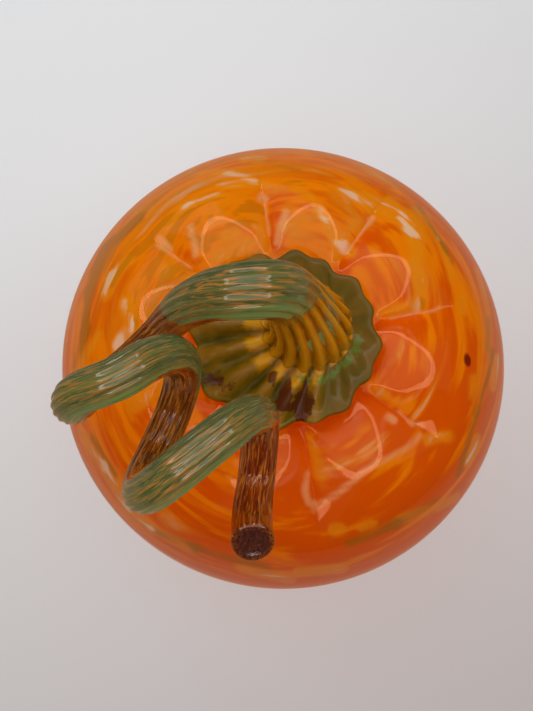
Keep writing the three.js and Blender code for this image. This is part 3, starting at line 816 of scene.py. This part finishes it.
def stem_glass(colours):
    """The stem: amber and brown glass with a green skin outside its bends, all drawn into fine streaks.

    The green is lighter in clouds and on the rib tops, where it is painted shading of the ribs. It is darker on the
    shaded side and brightest on the near edge, where it is painted light shining through, with light and amber dashes
    in it. Over the foot the amber is a lighter one that follows the ribs."""
    g = Graph("green_stem_glass")
    grain = g.attribute("grain", "Vector")
    streaks = g.noise(grain, 1.0, 2.0, 0.55)
    dashes = g.noise(grain, 1.9, 1.0)
    clouds = g.noise(grain, 0.22)
    flute = g.attribute("flute")
    shade = g.attribute("shade")
    green = (g.attribute("skin") + (streaks - 0.5) * 0.45).ramp(0.36, 0.60)
    amber_place = (g.attribute("crown") - shade * 0.6 + (clouds - 0.5) * 2.4).ramp(0.10, 0.7)
    amber_dash = (dashes * 0.75 + streaks * 0.25).ramp(0.49, 0.60) * amber_place
    # Painted shading of the ribs: lighter on their tops and darker between them, mixed with random clouds.
    jade = g.mix(clouds.ramp(0.35, 0.65) * 0.5 + flute * 0.5, colours.stem_green, JADE)
    jade = g.mix(shade * 0.65, jade, JADE_IN_SHADE)
    jade = g.mix(dashes.ramp(0.52, 0.70) * 0.5, jade, JADE_DASH)
    jade = g.mix(amber_dash * 0.9, jade, AMBER_DASH)
    # Painted light along the near lower edge.
    jade = g.mix(g.attribute("edge") * 0.75, jade, JADE_LIT_EDGE)
    amber = g.ramp(
        streaks * 0.7 + dashes * 0.3,
        (0.38, (0.020, 0.005, 0.001)),
        (0.47, (0.16, 0.020, 0.001)),
        (0.55, colours.stem_amber[:]),
        (0.66, (0.56, 0.23, 0.03)),
    )
    root = g.ramp(
        flute * 0.5 + streaks * 0.3 + dashes * 0.2,
        (0.24, (0.085, 0.065, 0.002)),
        (0.34, (0.40, 0.17, 0.001)),
        (0.56, (0.68, 0.28, 0.001)),
        (0.80, (0.80, 0.42, 0.010)),
    )
    amber = g.mix(g.attribute("root"), amber, root)
    colour = g.mix(green, amber, jade)
    colour = g.mix(g.attribute("tip"), colour, g.mix(streaks.ramp(0.4, 0.6), TIP_DARK, TIP_LIGHT))
    normal = g.bump(streaks, 0.2, 0.15 * MM)
    solid = g.pigment(colour, 0.12, normal, gloss=0.8)
    clear_tint = g.mix(green, (0.50, 0.20, 0.05), (0.40, 0.48, 0.22))
    clear = g.glass(clear_tint, 0.03, normal, sheen=(1.0, 0.9, 0.7))
    return g.lit(g.blend(0.58 + green * 0.20, clear, solid), shadow=(0.84, 0.74, 0.52))


def calyx_glass(colours):
    """The calyx: an amber fluted bell, brown ridges on its swept side and an olive flange on the other.

    It is flecked green where bell and flange meet, and has dark red patches."""
    g = Graph("amber_calyx_glass")
    place = g.place()
    grain = g.attribute("grain", "Vector")
    streaks = g.noise(grain, 1.0, 3.0, 0.6)
    specks = g.noise(place, 480.0, 3.0, 0.6)
    clouds = g.noise(place, 110.0)
    flute = g.attribute("flute")
    bell = (g.attribute("bell") + (streaks - 0.5) * 0.6 + (specks - 0.5) * 0.4).ramp(0.35, 0.65)
    patch = (g.attribute("patch") + (streaks - 0.5) * 1.6 + (specks - 0.5) * 0.9).ramp(0.34, 0.56)
    amber = g.ramp(
        flute * 0.45 + streaks * 0.55,
        (0.28, (0.095, 0.062, 0.001)),
        (0.40, (0.33, 0.135, 0.001)),
        (0.58, (0.56, 0.23, 0.001)),
        (0.76, (0.66, 0.34, 0.010)),
    )
    ridges = g.ramp(
        flute * 0.28 + streaks * 0.72 + (clouds - 0.5) * 0.3,
        (0.28, (0.055, 0.045, 0.003)),
        (0.45, (0.16, 0.095, 0.002)),
        (0.58, (0.26, 0.120, 0.006)),
        (0.74, (0.34, 0.18, 0.040)),
    )
    flange = g.mix(clouds.ramp(0.38, 0.62), colours.flange, FLANGE_SECOND)
    flange = g.mix(specks.ramp(0.50, 0.70) * 0.4, flange, FLANGE_SPECK)
    meeting = (g.attribute("meeting") * 0.8 + (specks - 0.5) * 2.4).ramp(0.55, 0.85)
    colour = g.mix(g.attribute("swept"), flange, ridges)
    colour = g.mix(bell, colour, amber)
    colour = g.mix(meeting * 0.75, colour, MEETING_GREEN)
    colour = g.mix(patch * 0.9, colour, colours.dark_red)
    normal = g.bump(streaks, 0.3, 0.25 * MM)
    solid = g.pigment(colour, 0.20, normal, gloss=0.20)
    clear = g.glass((0.75, 0.42, 0.08), 0.08, normal, sheen=(1.0, 0.8, 0.45))
    return g.lit(g.blend(0.90, clear, solid), shadow=(0.7, 0.5, 0.25))


def floor_paper(colours):
    """Pale matt paper of the light box, with painted shade that turns it darker and rosier towards one side.

    Where the glass mirrors it, it is the rosy paper that the pumpkin's light falls on."""
    g = Graph("pale_paper")
    place = g.place()
    across = g.vector("DOT_PRODUCT", place, (0.4, -0.9, 0), out="Value")
    # Painted shade: darker and rosier towards +X and -Y.
    colour = g.mix(across.ramp(-0.30, 0.30), colours.floor, colours.floor_shaded)
    colour = g.mix(g.noise(place, 6.0) * 0.06, colour, PAPER_GREY)
    light = {"Emission Color": colour, "Emission Strength": 1.0, "Specular IOR Level": 0.0}
    bright = g.principled((0, 0, 0), 0.5, None, light)
    seen = (g.ray("Is Camera Ray") + g.ray("Is Transmission Ray")).ramp(0.0, 1.0)
    paper = g.blend(seen * 0.5, g.pigment(colour, 0.9), bright)
    return g.surface(g.blend(g.ray("Is Glossy Ray"), paper, g.pigment(colours.floor_glow, 0.9)))


def paint_body(piece, outline, angles):
    """Stores what the body's glass reads: its swirls, streaks, painted glints, painted light and painted rim
    reflection.

    The inner skin takes the outer one's places, so that both carry one pattern. Streaks and painted glints are placed
    as seen from above and fade out just over the widest part. The painted light is a cosine round the body, lightest
    on the side the strongest softbox lights and a little less outside, with painted light and shade on the crease
    flanks. The painted rosy rim reflection is 1 up to 80 mm and 0 from 96 mm up."""
    radius, height, _ = (np.concatenate([row, row[::-2]])[:, None] for row in outline)
    angle = angles[None, :]
    store(piece, "swirl", with_mean_poles(swirl_space(radius, height, angle)))
    above = smoothstep(height, 56 * MM, 64 * MM)
    seen = radius / MM - STREAK_SHIFT
    x, y = seen * np.cos(angle), seen * np.sin(angle)
    for name, streaks in (("cream", CREAM_STREAKS), ("brown", BROWN_STREAKS)):
        store(piece, name, with_poles(above * streak_field(streaks, x, y)))
    # Painted highlights and caustic glints: a bell curve of the distance from the nearest listed segment.
    nearest = np.min([off_segment(x, y, *ends) for ends in PAINTED_GLINTS], axis=0)
    store(piece, "threads", with_poles(above * bell_curve(nearest, 0, GLINT_HALF_WIDTH)))
    # Painted light: a cosine round the body, lightest on the side the strongest softbox lights, with painted light
    # and shade on the crease flanks.
    outside = smoothstep(radius, 46 * MM, 66 * MM)
    folds = above * crease_shading(radius, angle)
    mottle = -0.1 * outside + 0.8 * np.cos(angle - LIT_SIDE_ANGLE) + 1.8 * folds
    store(piece, "mottle", with_poles(mottle))
    # Painted rosy rim reflection on the sides.
    store(piece, "blush", with_poles(1 - smoothstep(height, 80 * MM, 96 * MM) + 0 * angle))


def paint_calyx(piece, rings, angle):
    """Stores what the calyx's glass reads.

    The grain is a tube round the stem's foot, and the flute follows the ribs. On the swept side the bell reaches
    9 mm further. The meeting is an arc where bell and flange meet on another side. The patches are oval spots."""
    spread = rings - STEM_FOOT
    out = np.hypot(spread[..., 0], spread[..., 1])
    around = np.arctan2(spread[..., 1], spread[..., 0])
    grain = np.stack([7 * np.cos(around), 7 * np.sin(around), out / (9 * MM)], axis=-1)
    store(piece, "grain", with_mean_poles(grain))
    store(piece, "flute", with_poles(0.5 + 0.5 * np.cos(RIBS * (angle - RIB_ANGLE)) + 0 * out, 0.5, 0.5))
    swept = smoothstep(np.cos(around - SWEPT_ANGLE), -0.15, 0.35)
    store(piece, "swept", with_poles(swept, 0.5, 0.5))
    reach = (13.2 + 9.0 * swept) * MM
    bell = 1 - smoothstep(out, reach - (1.2 + 9.0 * swept) * MM, reach)
    store(piece, "bell", with_poles(bell, last=1.0))
    meeting = bell_curve(out, 14.5 * MM, 2 * MM) * smoothstep(np.cos(around - MEETING_ANGLE), 0.3, 0.8)
    store(piece, "meeting", with_poles(meeting))
    in_mm = rings / MM
    patch = sum(
        strength * bell_curve(in_mm[..., 0], x, wide) * bell_curve(in_mm[..., 1], y, long)
        for x, y, wide, long, strength in CALYX_PATCHES
    )
    store(piece, "patch", with_poles(patch))


def paint_stem(piece, course, direction, angle):
    """Stores what the stem's glass reads.

    The green skin lies outside the bends, starts over the foot in teeth between the ribs and ends before the tip.
    The edge, painted lighter as if lit through, the shade, painted darker, and the crown are the sides that face
    three ways. The grain is a tube round the rod, on which 6 mm along it are one step. The root is the foot, the
    flute follows the ribs, and the tip is the cut."""
    stations, *_, outward = course
    length, along = stations[-1], stations[:, None]
    ribs = np.cos(RIBS * (angle - RIB_ANGLE))
    teeth = along / MM - 15 - 8 * ribs
    skin = smoothstep(np.einsum("sk,sak->sa", outward, direction), -0.45, 0.40) * smoothstep(teeth, -2, 2)
    sides = {
        "skin": skin * (1 - smoothstep(along, length - 42 * MM, length - 30 * MM)),
        # Painted light: the side facing the near lower edge, lit as if through the glass.
        "edge": smoothstep(direction @ (0.30, -0.85, -0.43), 0.25, 0.85),
        "shade": smoothstep(direction @ (-0.30, 0.85, 0.20), 0.05, 0.80),
        "crown": smoothstep(direction[..., 2], 0.30, 0.90),
    }
    shares = FACE_SHARES[..., 0]
    on_face = np.zeros((len(shares), len(angle)))
    for name, side in sides.items():
        store(piece, name, with_poles(np.concatenate([side[:1], side, on_face])))

    gone_by = np.concatenate([[0.0], stations, np.full(len(shares), length)])[:, None]
    store(piece, "root", with_poles(1 - smoothstep(gone_by, 20 * MM, 34 * MM) + 0 * angle, first=1.0))
    store(piece, "flute", with_poles(0.5 + 0.5 * ribs + 0 * gone_by, 0.5, 0.5))
    on_rod = np.ones((len(stations) + 1, 1))
    tip = np.concatenate([0 * on_rod, 1 - smoothstep(shares, 0.80, 0.92)]) + 0 * angle
    store(piece, "tip", with_poles(tip, last=1.0))
    wide = 9 * np.concatenate([on_rod, shares])
    grain = np.stack([wide * np.cos(angle), wide * np.sin(angle), gone_by / (6 * MM) + 0 * angle], axis=-1)
    store(piece, "grain", with_mean_poles(grain))


def area_lamp(name, shape, place, size, radiance, tilt=(0, 0, 0), size_y=None):
    """An area lamp that the camera doesn't see, its energy the radiance times pi times its area."""
    light = bpy.data.lights.new(name, "AREA")
    light.shape, light.size = shape, size
    area = size**2 * (math.pi / 4 if shape == "DISK" else 1)
    if size_y is not None:
        light.size_y = size_y
        area = size * size_y
    light.energy = radiance * math.pi * area
    lamp = bpy.data.objects.new(name, light)
    lamp.location, lamp.rotation_euler = place, tilt
    lamp.visible_camera = False
    bpy.context.scene.collection.objects.link(lamp)
    return lamp


def pale_room():
    """The world: a dim pale room, darker where the glass mirrors it and lighter where the camera sees it."""
    world = bpy.data.worlds.new("pale_room")
    world.use_nodes = True
    sky = Graph.of(world.node_tree)
    way = sky.node("ShaderNodeTexCoord", out="Generated")
    height = sky.node("ShaderNodeSeparateXYZ", None, {0: way}, out="Z")
    colour = sky.mix(height.ramp(0.25, 0.85), ROOM_LOW, ROOM_HIGH)
    colour = sky.mix(sky.ray("Is Glossy Ray"), colour, ROOM_MIRRORED)
    colour = sky.mix(sky.ray("Is Camera Ray"), colour, ROOM_SEEN)
    back = sky.node("ShaderNodeBackground", None, {"Color": colour, "Strength": 1.0})
    sky.node("ShaderNodeOutputWorld", None, {"Surface": back})
    return world


class PUMPKIN_OT_body(bpy.types.Operator):
    """Blow the body: a clear outer skin over a swirled orange inner one"""

    bl_idname = "glass_pumpkin.body"
    bl_label = "Blown body"

    def execute(self, context):
        sizes, colours = context.scene.pumpkin_sizes, context.scene.pumpkin_colours
        outline = body_outline(sizes)
        inner = inner_outline(sizes, *outline)
        angles = body_angles()
        rings = np.concatenate([body_rings(outline, angles, 1.0), body_rings(inner, angles, INNER_SHARE)])
        floor = np.array([0, 0, KICK_HEIGHT])
        piece = closed_skin("body_glass", rings, floor, floor + (0, 0, sizes.wall))
        slots = np.ones(len(piece.data.polygons))
        slots[:len(angles) * len(outline[0])] = 0
        paint_faces(piece, slots)
        paint_body(piece, outline, angles)
        piece.data.materials.append(casing_glass(colours))
        piece.data.materials.append(orange_glass(colours))
        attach(piece, "root")
        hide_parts("blown_body")
        return {"FINISHED"}


class PUMPKIN_OT_calyx(bpy.types.Operator):
    """Press the calyx over the neck hole"""

    bl_idname = "glass_pumpkin.calyx"
    bl_label = "Calyx"

    def execute(self, context):
        sizes, colours = context.scene.pumpkin_sizes, context.scene.pumpkin_colours
        angle = np.linspace(0, TURN, 256, endpoint=False)[None, :]
        rings = calyx_rings(sizes, angle)
        piece = closed_skin("calyx_glass", rings, (0, 0, neck_height(sizes) - SPIGOT_DEPTH), STEM_FOOT)
        paint_calyx(piece, rings, angle)
        piece.data.materials.append(calyx_glass(colours))
        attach(piece, "root")
        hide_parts("calyx")
        return {"FINISHED"}


class PUMPKIN_OT_stem(bpy.types.Operator):
    """Draw the stem out of its foot, over the arch and round the curl"""

    bl_idname = "glass_pumpkin.stem"
    bl_label = "Curled stem"

    def execute(self, context):
        sizes, colours = context.scene.pumpkin_sizes, context.scene.pumpkin_colours
        course = stem_course()
        angle = np.linspace(0, TURN, 128, endpoint=False)
        rings, direction = stem_rings(sizes, course, angle)
        _, centre, *_ = course
        piece = closed_skin("stem_glass", rings, STEM_FOOT, centre[-1])
        paint_stem(piece, course, direction, angle)
        piece.data.materials.append(stem_glass(colours))
        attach(piece, "root")
        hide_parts("curled_stem")
        return {"FINISHED"}


class PUMPKIN_OT_studio(bpy.types.Operator):
    """Set the pumpkin in a pale light box, with a ring of lamps round the camera"""

    bl_idname = "glass_pumpkin.studio"
    bl_label = "Light box"

    def execute(self, context):
        scene = context.scene
        colours = scene.pumpkin_colours
        side = np.linspace(0, TURN, 96, endpoint=False)
        reach = np.linspace(0.02, 1.0, 24)[:, None] * FLOOR_RADIUS
        ground = np.stack([reach * np.cos(side), reach * np.sin(side), 0 * reach * side], axis=-1)
        under = (0, 0, -FLOOR_THICKNESS)
        floor = closed_skin("paper_floor", np.concatenate([ground + under, ground[::-1]]), under, (0, 0, 0))
        floor.data.materials.append(floor_paper(colours))

        camera = bpy.data.objects.new("camera", bpy.data.cameras.new("camera"))
        camera.location = CAMERA_PLACE
        camera.rotation_euler = (CAMERA_TILT, 0, 0)
        camera.data.lens = CAMERA_LENS
        camera.data.clip_start = 0.01
        scene.collection.objects.link(camera)
        scene.camera = camera

        area_lamp("overhead", "DISK", (0, LAMP_RING_SHIFT, 0.263), size=0.20, radiance=0.75)
        for i in range(LAMPS):
            a = TURN * (i + 0.5) / LAMPS
            x, y = LAMP_RING_RADIUS * math.cos(a), LAMP_RING_SHIFT + LAMP_RING_RADIUS * math.sin(a)
            area_lamp(f"strip_{i}", "RECTANGLE", (x, y, 0.260), 0.022, radiance=3.4, tilt=(0, 0, a), size_y=0.0458)
        for i, (x, y, radiance) in enumerate(((-0.5, 0.7, 1.7), (0.7, 0.1, 0.8), (-0.2, -0.8, 0.6))):
            tilt = (0, math.atan2(math.hypot(x, y), 1.0), math.atan2(y, x))
            soft = area_lamp(f"softbox_{i}", "SQUARE", (x, y, 1.0), 0.9, radiance, tilt)
            soft.visible_glossy = False
        scene.world = pale_room()
        scene.view_settings.view_transform = "Standard"
        return {"FINISHED"}


class PUMPKIN_PT_panel(bpy.types.Panel):
    """Buttons and values of the glass pumpkin"""

    bl_label = "Glass Pumpkin"
    bl_idname = "PUMPKIN_PT_panel"
    bl_space_type = "VIEW_3D"
    bl_region_type = "UI"
    bl_category = "Glass Pumpkin"

    def draw(self, context):
        for group in (context.scene.pumpkin_sizes, context.scene.pumpkin_colours):
            for key in group.__annotations__:
                self.layout.prop(group, key)
        for operator in OPERATORS:
            self.layout.operator(operator.bl_idname)


OPERATORS = (PUMPKIN_OT_body, PUMPKIN_OT_calyx, PUMPKIN_OT_stem, PUMPKIN_OT_studio)
CLASSES = (PumpkinSizes, PumpkinColours, *OPERATORS, PUMPKIN_PT_panel)


def register():
    for cls in CLASSES:
        bpy.utils.register_class(cls)
    bpy.types.Scene.pumpkin_sizes = bpy.props.PointerProperty(type=PumpkinSizes)
    bpy.types.Scene.pumpkin_colours = bpy.props.PointerProperty(type=PumpkinColours)


def unregister():
    del bpy.types.Scene.pumpkin_colours
    del bpy.types.Scene.pumpkin_sizes
    for cls in reversed(CLASSES):
        bpy.utils.unregister_class(cls)


def main():
    """Registers the add-on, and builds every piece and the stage."""
    register()
    bpy.ops.glass_pumpkin.body()
    bpy.ops.glass_pumpkin.calyx()
    bpy.ops.glass_pumpkin.stem()
    bpy.ops.glass_pumpkin.studio()


if __name__ == "__main__":
    main()
